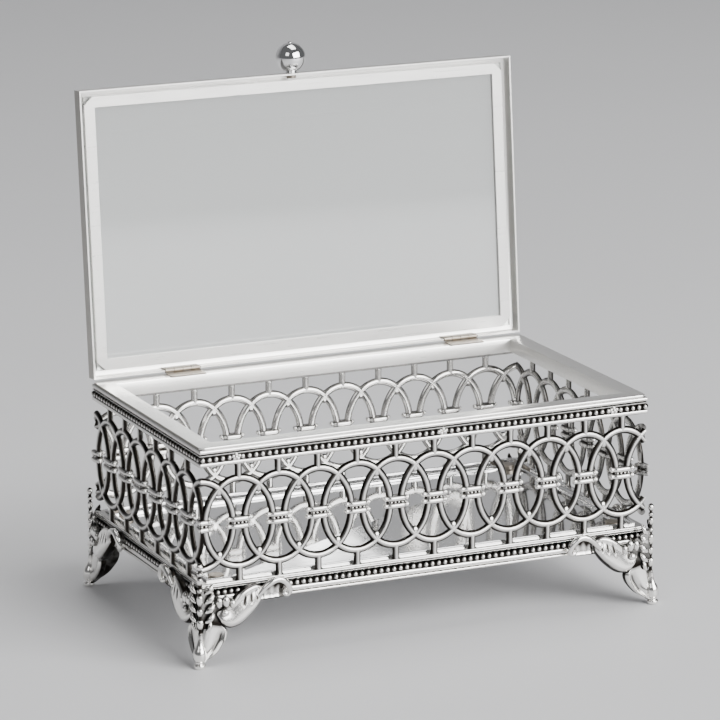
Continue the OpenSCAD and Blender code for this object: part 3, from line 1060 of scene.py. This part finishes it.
@dataclass
class Ledge(Sides):
    """Four angle strips of sheet round the mouth, mitred, with rounded outer corners.

    Attributes:
        top_z: Top face of the ledge.
        set_in: How far its outer edge lies behind the faces of the box.
        wide: Width of the flat ledge.
        drop: Height of its inner strip.
        sheet: Thickness of the sheet.
        corner_r: Radius of its outer corners.
    """

    top_z: float = 76.0
    set_in: float = 0.4
    wide: float = 6.6
    drop: float = 5.0
    sheet: float = 0.8
    corner_r: float = 2.2

    def section(self) -> np.ndarray:
        """Section of a strip with its outer and inner edges rounded."""
        s, w, t, z = self.set_in, self.wide, self.sheet, self.top_z
        return np.array(
            [
                (s + 0.1, z - t), (s, z - t + 0.12), (s, z - 0.3), (s + 0.1, z - 0.08),
                (s + 0.35, z), (s + w - 0.5, z), (s + w - 0.14, z - 0.1), (s + w, z - 0.45),
                (s + w, z - self.drop + 0.1), (s + w - 0.1, z - self.drop),
                (s + w - t + 0.1, z - self.drop), (s + w - t, z - self.drop + 0.1),
                (s + w - t, z - t),
            ]
        )

    def build(self, shop: Workshop) -> None:
        """Makes the four strips."""
        long, short = (
            side_strip(length, self.section(), 0.0, self.corner_r + self.set_in, 6)
            for length in (self.width, self.depth)
        )
        self.put(shop, "ledge", long, short, Slot.SHEET, 40.0)


# ---------------------------------------------------------------- the cast feet


def outlined(a: np.ndarray, b: np.ndarray, rim_a: float = 0.05, rim_b: float = 0.09) -> np.ndarray:
    """Painted shade along the edges of a patch: 1 at an edge, falling to 0 a rim's width inside."""
    inside = np.minimum(np.minimum(a, 1 - a) / rim_a, np.minimum(b, 1 - b) / rim_b)
    return np.clip(1.15 - inside, 0, 1)


@dataclass
class Feet:
    """The four cast corner feet, each two mirrored wings of leaves about a beaded ridge.

    A wing is drawn with t along the wall from the corner, z up and h out of the wall.

    Attributes:
        width: Outer width of the box.
        depth: Outer depth of the box.
        flare: How far the toe stands out past the corner, along x and along y.
        knee: Height below which the leg flares.
        ridge_out: How far the ridge's middle stands outside the corner, along x and along y.
    """

    width: float
    depth: float
    flare: float = 0.7
    knee: float = 15.0
    ridge_out: float = 1.0

    def out(self, z: np.ndarray) -> np.ndarray:
        """How far the leg has moved out at a height: 0 at the knee, all of the flare at 0."""
        s = np.clip(1 - z / self.knee, 0, 1)
        return self.flare * s * s * (3 - 2 * s)

    def folded(self, tzh: np.ndarray) -> np.ndarray:
        """Takes a wing's t, z and h to the foot's own frame, the box corner at the origin."""
        t, z, h = tzh[..., 0], tzh[..., 1], tzh[..., 2]
        shift = self.out(z)
        return np.stack([t - shift, -h - shift, z], -1)

    def patch(
        self,
        lower: Sequence[Sequence[float]],
        upper: Sequence[Sequence[float]],
        height: Field,
        back: float,
        size: tuple[int, int] = (40, 18),
        dark: Field | None = None,
    ) -> Shape:
        """A cast leaf between two smooth edges.

        The point at shares a and b is (1 - b) times the lower edge at a plus b times the upper
        edge at a, lifted out of the wall by a height; a flat back closes it.

        Args:
            lower: Knots of the lower edge, rows of t and z.
            upper: Knots of the upper edge.
            height: Height above the wall from a, b, t and z.
            back: Height of the back.
            size: Points along the edges and across them.
            dark: Painted shade from a, b, t and z.

        Returns:
            The leaf on one wing, folded into the foot's frame.
        """
        along, across = size
        one, two = smooth_line(lower, along), smooth_line(upper, along)
        a = np.broadcast_to(np.linspace(0, 1, along)[:, None], size)
        b = np.broadcast_to((1 - np.cos(np.linspace(0, math.pi, across))) / 2, size)
        flat = one[:, None] * (1 - b[..., None]) + two[:, None] * b[..., None]
        t, z = flat[..., 0], flat[..., 1]
        front = np.stack([t, z, height(a, b, t, z)], -1)
        rear = np.stack([t, z, np.full(size, back)], -1)
        tone = dark(a, b, t, z) if dark else outlined(a, b)
        rings = np.concatenate([front, rear[:, ::-1]], 1)
        # painted shade: the flat back is painted dark.
        shade = np.concatenate([tone, np.full(size, 0.9)], 1)
        return grid(self.folded(rings), shade)

    def body_leaf(self) -> Shape:
        """The big leaf: a swelling lobe with a strip of painted shade under its crest and three flutes."""

        def flutes(t: np.ndarray, z: np.ndarray) -> np.ndarray:
            """Three short grooves that fan out towards the upper edge."""
            total = np.zeros_like(t)
            for t0, z0, lean in ((14.6, 22.0, 0.25), (17.0, 22.6, 0.1), (19.2, 23.3, -0.05)):
                side = t - t0 - lean * (z - z0)
                total += np.exp(-((side / 0.33) ** 2) - ((z - z0) / 1.8) ** 4)
            return total

        def height(a: np.ndarray, b: np.ndarray, t: np.ndarray, z: np.ndarray) -> np.ndarray:
            """Rises steeply to the crest at b = 0.22, then falls away slowly."""
            rise = np.clip(b / 0.22, 0, 1)
            fall = np.clip((b - 0.22) / 0.78, 0, 1)
            ends = np.sin(math.pi * np.clip(a, 0.02, 0.98)) ** 0.35
            lip = 0.5 * np.exp(-(((b - 0.9) / 0.07) ** 2))
            body = 0.9 + 3.0 * ends * np.sqrt(rise) * (1 - 0.6 * fall**1.4) + lip * ends
            return body - 0.22 * flutes(t, z)

        def dark(a: np.ndarray, b: np.ndarray, t: np.ndarray, z: np.ndarray) -> np.ndarray:
            """Painted shade under the crest, along the other edges and in the flutes."""
            under = np.clip(2.0 - b / 0.07, 0, 1)
            return np.clip(under + 1.7 * flutes(t, z) + outlined(a, b, 0.03, 0.05), 0, 1)

        return self.patch(
            [(4.9, 17.4), (6.4, 14.4), (9.2, 12.6), (12.6, 13.0), (16.4, 15.6), (20.0, 19.4), (21.8, 22.4)],
            [(5.0, 18.8), (7.2, 20.0), (10.2, 21.8), (12.8, 24.6), (15.8, 26.3), (19.2, 26.9), (21.8, 25.8)],
            height, -0.2, (64, 30), dark,
        )

    def scroll(self) -> Shape:
        """The scroll at the wing's tip: a rolled arch that curls in at both ends over a hollow."""
        line = smooth_line(
            [(19.4, 24.6), (18.9, 23.6), (19.8, 23.2), (20.9, 24.2), (22.4, 25.8), (24.9, 27.4),
             (27.3, 27.9), (29.6, 26.8), (31.2, 24.6), (31.5, 22.8), (30.5, 21.9), (29.4, 22.7),
             (29.9, 23.7)],
            60,
        )
        share = np.linspace(0, 1, 60)
        rise = 1.9 + 1.0 * np.sin(math.pi * np.clip(share * 1.1, 0, 1))
        path = self.folded(np.concatenate([line, rise[:, None]], 1))
        arch = tube(path, 0.55 + 0.6 * np.sin(math.pi * np.clip(share, 0.02, 0.98)) ** 0.8, 10)

        def hollow(a: np.ndarray, b: np.ndarray, t: np.ndarray, z: np.ndarray) -> np.ndarray:
            """A scooped shell, deepest under the arch, with faint ribs."""
            return 1.3 - 0.8 * np.sin(math.pi * b) ** 0.5 + 0.08 * np.cos(a * 9 * math.pi)

        def shade(a: np.ndarray, b: np.ndarray, t: np.ndarray, z: np.ndarray) -> np.ndarray:
            """Darkest right under the arch and along the lower edge."""
            ribs = 0.2 + 0.25 * (1 - np.cos(a * 9 * math.pi)) * np.sin(math.pi * b)
            under = np.clip(1.3 * (b - 0.45) / 0.5, 0, 1) + np.clip(0.9 - b / 0.06, 0, 1)
            return np.clip(ribs + under, 0, 1) * np.clip(6 * a, 0, 1) * np.clip(6 - 6 * a, 0, 1)

        shell = self.patch(
            [(20.8, 20.9), (23.5, 20.95), (26.5, 21.0), (29.0, 21.1), (30.8, 21.6)],
            [(21.2, 24.2), (23.8, 26.6), (27.2, 27.6), (29.5, 26.4), (30.8, 24.0)],
            hollow, -0.2, (44, 14), shade,
        )
        return joined([arch, shell])

    def leg_leaf(self) -> Shape:
        """The lower leaf: from the neck down to the toe, ribbed above, with a rolled edge."""

        def height(a: np.ndarray, b: np.ndarray, t: np.ndarray, z: np.ndarray) -> np.ndarray:
            """A rounded leaf with a raised roll along its outer edge and a hollow beside it."""
            roll = np.exp(-(((b - 0.13) / 0.09) ** 2))
            hollow = np.exp(-(((b - 0.34) / 0.12) ** 2))
            belly = np.sqrt(np.clip(1 - (2 * b - 1) ** 2, 0, 1))
            ribs = 0.07 * np.cos(b * 14 * math.pi) * np.clip(1.6 - 3 * a, 0, 1)
            middle = np.sin(math.pi * a)
            return 0.4 + 1.25 * belly + 0.8 * roll * middle - 0.8 * hollow * middle + ribs

        def dark(a: np.ndarray, b: np.ndarray, t: np.ndarray, z: np.ndarray) -> np.ndarray:
            """Painted shade in the hollow beside the roll, between two curls near the toe, at the edges."""
            slot = np.exp(-(((b - 0.3) / 0.06) ** 2)) * np.clip(3 - np.abs(a - 0.42) / 0.09, 0, 1)
            curl = 0.62 + 0.16 * np.sin(a * 9)
            lines = np.exp(-(((b - curl) / 0.05) ** 2)) * np.clip((a - 0.45) / 0.15, 0, 1)
            head = np.clip(1.0 - a / 0.12, 0, 1)
            return np.clip(slot + lines + head + outlined(a, b, 0.02, 0.04), 0, 1)

        return self.patch(
            [(7.6, 13.6), (9.3, 11.4), (9.0, 9.0), (7.4, 6.4), (5.4, 4.3), (2.8, 2.8), (0.6, 1.4)],
            [(1.4, 15.4), (0.2, 13.0), (-0.4, 10.5), (-0.7, 8.0), (-0.9, 5.6), (-1.0, 3.4), (-1.0, 1.6)],
            height, -1.0, (48, 26), dark,
        )

    def neck(self) -> Shape:
        """The ground between ridge and leaves, painted dark as painted shade."""

        def height(a: np.ndarray, b: np.ndarray, t: np.ndarray, z: np.ndarray) -> np.ndarray:
            """A flat ground that swells a little towards the corner."""
            return 0.85 + 0.5 * np.exp(-((t / 3.2) ** 2))

        def dark(a: np.ndarray, b: np.ndarray, t: np.ndarray, z: np.ndarray) -> np.ndarray:
            """Painted dark nearly everywhere as painted shade, a little less high up."""
            return np.clip(1.0 - 0.035 * (z - 14), 0.55, 1.0)

        return self.patch(
            [(-1.3, 13.5), (1.5, 13.2), (4.6, 13.4), (8.0, 14.6), (12.0, 18.0)],
            [(-1.3, 26.8), (1.5, 26.4), (3.6, 24.9), (7.0, 23.4), (12.0, 22.8)],
            height, -0.2, (24, 16), dark,
        )

    def cluster(self) -> Shape:
        """The bunch of lobes beside the ridge, three standing ones and one below."""
        lobes = [
            (5.5, 22.2, 1.2, 2.1, 2.3), (7.9, 22.4, 1.35, 2.2, 2.6), (10.2, 21.4, 1.1, 1.7, 2.7),
            (7.4, 18.6, 1.5, 1.35, 3.1),
        ]
        made = []
        for t, z, wide, tall, rise in lobes:
            lobe = ball(wide, 1.35, tall, 9, 14)
            rim = np.hypot(lobe.points[:, 0] / wide, lobe.points[:, 2] / tall)
            # painted shade: each lobe is painted dark towards its rim.
            lobe.dark = np.clip(3.0 * (rim - 0.72), 0, 1)
            made.append(lobe.moved(t, 0.2 - rise, z))
        return joined(made)

    def leaflets(self) -> Shape:
        """Small slanting leaves beside the ridge, one above the other, each with a dark edge of painted
        shade on its side towards the wall.
        """
        made = []
        share = np.linspace(0, 1, 16)
        for z, size in ((27.6, 1.0), (24.2, 1.1), (20.8, 1.15), (17.4, 1.1), (14.4, 0.8)):
            knots = [(0.5, z - 2.0), (1.7, z - 1.0), (2.7 * size, z + 0.5), (3.0 * size, z + 2.0)]
            line = smooth_line(knots, 16)
            thick = 0.12 + 0.78 * size * np.sin(math.pi * share) ** 0.75
            rise = 1.7 + 0.7 * np.sin(math.pi * share)
            path = self.folded(np.concatenate([line, rise[:, None]], 1))
            leaf = tube(path, thick, 8)
            tops = self.folded(np.concatenate([line, rise[:, None] + thick[:, None]], 1))
            lift = np.repeat(tops[:, 1], 8) - leaf.points[:, 1]
            # painted shade: darker towards the side that faces the wall.
            leaf.dark = np.clip(-lift / np.repeat(thick, 8) - 0.35, 0, 1)
            made.append(leaf)
        return joined(made)

    def ridge(self) -> Shape:
        """The beaded ridge up the corner, from the toe's ball to the finial.

        The ridge is a tube on the corner's diagonal whose radius swells and shrinks along it,
        so that it reads as a string of long beads.
        """
        knots = [
            (0.0, 1.9), (0.5, 2.1), (1.1, 2.05), (1.5, 1.5), (2.0, 1.5), (2.7, 2.0), (4.4, 2.35),
            (6.0, 2.1), (7.4, 1.45), (9.5, 1.0), (11.6, 0.8), (12.6, 0.6), (13.2, 0.65),
            (14.6, 1.15), (16.2, 1.0), (17.0, 0.5), (17.6, 0.6), (19.0, 1.0), (20.2, 0.9),
            (20.8, 0.5), (21.4, 0.65), (23.2, 1.1), (25.0, 0.9), (25.5, 0.5), (26.1, 0.7),
            (27.0, 0.95), (27.8, 0.6), (28.3, 0.55), (29.8, 1.0), (31.2, 0.8), (31.6, 0.45),
            (32.2, 0.85), (33.0, 0.9), (33.4, 0.5), (33.9, 0.6), (35.0, 1.15), (36.1, 0.8), (36.6, 0.2),
        ]
        line = smooth_line(knots, 210)
        z, r = line[:, 0], np.clip(line[:, 1], 0.2, None)
        away = self.ridge_out + self.out(z)
        path = np.stack([-away, -away, z], 1)
        # painted shade: the thin necks between the beads are painted dark.
        dark = np.clip((1.0 - r) * 3.0, 0, 1)
        return tube(path, r, 14, dark=dark)

    def lug(self) -> Shape:
        """The inner lug under the tray: a rounded shelf with a boss for the screw."""
        reach, side = 12.0, 9.0
        outline = smooth_line(
            [(-0.3, -0.3), (6.0, -0.3), (reach, -0.3), (reach, 6.0), (side + 1.5, side + 1.5),
             (6.0, reach), (-0.3, reach), (-0.3, 6.0), (-0.3, -0.2)],
            48,
        )[:-1]
        z = np.array([17.0, 17.3, 20.7, 21.0])
        grow = np.array([0.96, 1.0, 1.0, 0.96])[:, None]
        tall = np.broadcast_to(z[:, None], (4, 47))
        rings = np.stack([outline[:, 0] * grow, outline[:, 1] * grow, tall], -1)
        boss = lathe(np.array([(2.2, 16.4), (3.0, 16.6), (3.2, 17.0), (3.2, 26.2)]), 24, 0.3)
        # painted shade: the lug and its boss, under the tray, are painted a little dark all over.
        return joined([grid(rings, 0.35), boss.moved(9.0, 9.0)])

    def foot(self) -> Shape:
        """One foot, its box corner at the origin and the box towards +x and +y."""
        wing = joined(
            [self.body_leaf(), self.scroll(), self.leg_leaf(), self.neck(), self.cluster(), self.leaflets()]
        )
        other = wing.mapped(lambda p: p[:, [1, 0, 2]])
        whole = joined([wing, other, self.ridge()])
        whole.points[:, 2] = np.maximum(whole.points[:, 2], 0.0)
        return joined([whole, self.lug()])

    def build(self, shop: Workshop) -> None:
        """Makes the four feet."""
        foot = self.foot()
        for name, sx, sy in (
            ("foot_front_left", -1, -1), ("foot_front_right", 1, -1),
            ("foot_rear_left", -1, 1), ("foot_rear_right", 1, 1),
        ):
            corner = (sx * self.width / 2, sy * self.depth / 2, 0)
            placed = foot.mapped(lambda p: p * (-sx, -sy, 1) + corner)
            shop.piece(f"{name}_looks", placed, Slot.CASTING, Body.BOX, [name], 60.0)


# ---------------------------------------------------------------- the lid


@dataclass
class Lid:
    """The knob, turned in one piece; the rest of the lid keeps its sheet-metal shapes.

    Attributes:
        hinge_y: The pins' place along y in the maker's frame.
        hinge_z: The pins' height.
        depth: Outer depth of the box.
        overhang: How far the closed lid's front face stands past the box's.
        angle: How far the lid stands open, in degrees.
        knob_x: The knob's place along x.
        knob_z: The closed knob's height.
        knob_r: Radius of the ball.
        neck: Height of the neck.
    """

    hinge_y: float
    hinge_z: float
    depth: float
    overhang: float = 1.6
    angle: float = 95.0
    knob_x: float = -2.2
    knob_z: float = 78.75
    knob_r: float = 5.4
    neck: float = 0.3

    def opened(self, points: np.ndarray) -> np.ndarray:
        """Turns points of the closed lid about the pins to the open lid."""
        a = math.radians(self.angle)
        y, z = points[:, 1] - self.hinge_y, points[:, 2] - self.hinge_z
        return np.stack(
            [
                points[:, 0],
                self.hinge_y + y * math.cos(a) + z * math.sin(a),
                self.hinge_z - y * math.sin(a) + z * math.cos(a),
            ],
            1,
        )

    def knob(self) -> Shape:
        """The knob: a foot ring, a short neck, a ball and a pip on top, turned about its axis."""
        r, n = self.knob_r, self.neck
        polar = np.linspace(math.radians(160), math.radians(9), 40)
        sphere = np.stack([r * np.sin(polar), n + r + r * np.cos(polar)], 1)
        foot = np.array([(0.2, 0.0), (2.1, 0.0), (2.25, 0.12), (2.1, 0.28), (1.9, 0.42)])
        top = n + 2 * r
        pip = np.array(
            [(0.75, top - 0.02), (0.78, top + 0.08), (0.7, top + 0.24), (0.4, top + 0.37), (0.1, top + 0.4)]
        )
        profile = np.concatenate([foot, sphere, pip])
        dark = np.zeros(len(profile))
        dark[3:8] = 0.6
        turned = lathe(profile, 64, dark)
        place = (self.knob_x, -self.depth / 2 - self.overhang, self.knob_z)
        return turned.mapped(lambda p: np.stack([p[:, 0], -p[:, 2], p[:, 1]], 1) + place)

    def build(self, shop: Workshop) -> None:
        """Makes the knob and dresses the sheet parts, the glass and the screw."""
        knob = self.knob().mapped(self.opened)
        shop.piece("knob_looks", knob, Slot.KNOB, Body.LID, ["knob"], 30.0)
        shop.softened("lid_frame", Slot.SHEET, Body.LID, 0.22)
        shop.softened("glass_retainer", Slot.SHEET, Body.LID, 0.12)
        glass = shop.softened("lid_glass", Slot.GLASS, Body.LID, 0.15)
        glass.visible_shadow = False
        shop.softened("knob_screw", Slot.STEEL, Body.LID, 0.15)


class Hinges:
    """The two butt hinges, whose leaves and pins keep their exact shapes with softened edges."""

    def build(self, shop: Workshop) -> None:
        """Dresses the leaves and pins of both hinges."""
        for side in ("left", "right"):
            shop.softened(f"{side}_hinge_box_leaf", Slot.STEEL, Body.BOX, 0.08)
            shop.softened(f"{side}_hinge_lid_leaf", Slot.STEEL, Body.LID, 0.08)
            shop.softened(f"{side}_hinge_pin", Slot.STEEL, Body.BOX, 0.08)


class Tray:
    """The polished floor tray and the four screws through it."""

    def build(self, shop: Workshop) -> None:
        """Dresses the tray and its screws."""
        shop.softened("floor_tray", Slot.TRAY, Body.BOX, 0.2)
        shop.softened("foot_screws", Slot.STEEL, Body.BOX, 0.25)


# ---------------------------------------------------------------- studio


@dataclass
class Studio:
    """Camera, lights, floor and backdrop.

    Attributes:
        y_mid: Middle of the box's footprint along y in the row frame, in millimetres.
        focal: Focal length in millimetres on a 36 mm sensor.
        azimuth: Direction the camera looks in, in degrees from +y towards +x.
        elevation: How far it looks down, in degrees.
        roll: How far it is rolled, in degrees.
        place: Its place in the maker's frame, in millimetres.
    """

    y_mid: float
    focal: float = 207.2
    azimuth: float = 24.27
    elevation: float = 14.0
    roll: float = -0.275
    place: tuple[float, float, float] = (-585.4, -1291.8, 439.8)

    def camera(self) -> None:
        """Sets up the camera."""
        az, el, roll = (math.radians(v) for v in (self.azimuth, self.elevation, self.roll))
        ahead = Vector(
            (math.sin(az) * math.cos(el), math.cos(az) * math.cos(el), -math.sin(el))
        )
        level = Vector((math.cos(az), -math.sin(az), 0.0))
        lift = level.cross(ahead)
        right = level * math.cos(roll) + lift * math.sin(roll)
        up = lift * math.cos(roll) - level * math.sin(roll)
        data = bpy.data.cameras.new("camera")
        data.lens, data.sensor_width = self.focal, 36.0
        data.clip_start, data.clip_end = 0.05, 50.0
        turn = Matrix((right, up, -ahead)).transposed().to_4x4()
        spot = Vector(self.place) + Vector((0, self.y_mid, 0))
        made = added("camera", data)
        made.matrix_world = Matrix.Translation(spot * MM) @ turn
        bpy.context.scene.camera = made

    def lamp(
        self,
        name: str,
        spot: tuple[float, float, float],
        aim: tuple[float, float, float],
        size: tuple[float, float],
        power: float,
    ) -> None:
        """Hangs one soft box.

        Args:
            name: The lamp's name.
            spot: Where it hangs, in metres.
            aim: The point it faces.
            size: Its width and height in metres.
            power: Its power in watts.
        """
        data = bpy.data.lights.new(name, "AREA")
        data.shape = "RECTANGLE"
        data.size, data.size_y = size
        data.energy = power
        made = added(name, data)
        made.location = spot
        made.rotation_euler = (Vector(aim) - Vector(spot)).to_track_quat("-Z", "Y").to_euler()

    def stage(self) -> None:
        """Lays the floor and its curved backdrop: a level sheet that turns up behind."""
        a = np.linspace(0, math.pi / 2, 16)
        near, reach, radius, tall, half_wide, sunk = -6.0, 2.2, 0.9, 3.4, 7.0, 0.0002
        y = np.concatenate([[near], reach + radius * np.sin(a), [reach + radius]])
        z = np.concatenate([[0.0], radius * (1 - np.cos(a)), [tall]]) - sunk
        edges = [np.stack([np.full_like(y, x), y, z], 1) for x in (-half_wide, half_wide)]
        skin = grid(np.stack(edges, 1), loop_columns=False, capped=False)
        mesh = bpy.data.meshes.new("floor")
        mesh.from_pydata(skin.points.tolist(), [], skin.quads.tolist())
        mesh.shade_smooth()
        g = Graph("pale_floor")
        cloud = g.noise(3.0, 2.0)
        paint = g.blended(cloud, (0.66, 0.66, 0.67), (0.70, 0.70, 0.71))
        mesh.materials.append(g.finished({"Base Color": paint, "Roughness": 0.55}))
        added("floor", mesh)

    def build(self) -> None:
        """Sets up the whole studio."""
        self.camera()
        self.stage()
        world = bpy.data.worlds.new("studio")
        world.use_nodes = True
        back = world.node_tree.nodes["Background"]
        back.inputs["Color"].default_value = (0.80, 0.81, 0.83, 1)
        back.inputs["Strength"].default_value = 0.16
        bpy.context.scene.world = world
        for name, spot, aim_z, size, power in (
            ("card", (1.05, -2.0, 1.15), 0.10, (2.4, 1.6), 125.0),
            ("fill", (-1.3, -1.0, 1.2), 0.08, (0.8, 0.8), 5.0),
            ("top", (0.3, 0.1, 1.9), 0.05, (1.4, 1.0), 18.0),
        ):
            self.lamp(name, spot, (0, 0, aim_z), size, power)


def main() -> None:
    """Builds the piece classes in order and the studio round them."""
    logging.basicConfig(level=logging.INFO, format="%(name)s: %(message)s")
    front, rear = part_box("front_panel"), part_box("rear_panel")
    width = (front[1].x - front[0].x) / MM
    depth = (rear[1].y - front[0].y) / MM
    y_mid = (rear[1].y + front[0].y) / 2 / MM
    joint = frame["joints"][0]
    finish = {
        Slot.CASTING: CastSilver().material(),
        Slot.SHEET: SheetSilver().material("sheet_silver"),
        Slot.TRAY: MirrorSilver().material("polished_tray"),
        Slot.KNOB: MirrorSilver(roughness=0.02).material("polished_knob"),
        Slot.GLASS: ClearGlass().material(),
        Slot.STEEL: Steel().material(),
    }
    shop = Workshop(y_mid, finish)
    Walls(width, depth).build(shop)
    Ledge(width, depth).build(shop)
    Feet(width, depth).build(shop)
    Tray().build(shop)
    hinge_y, hinge_z = joint["pos_m"][1] / MM - y_mid, joint["pos_m"][2] / MM
    Lid(hinge_y, hinge_z, depth).build(shop)
    Hinges().build(shop)
    Studio(y_mid).build()


if __name__ == "__main__":
    main()
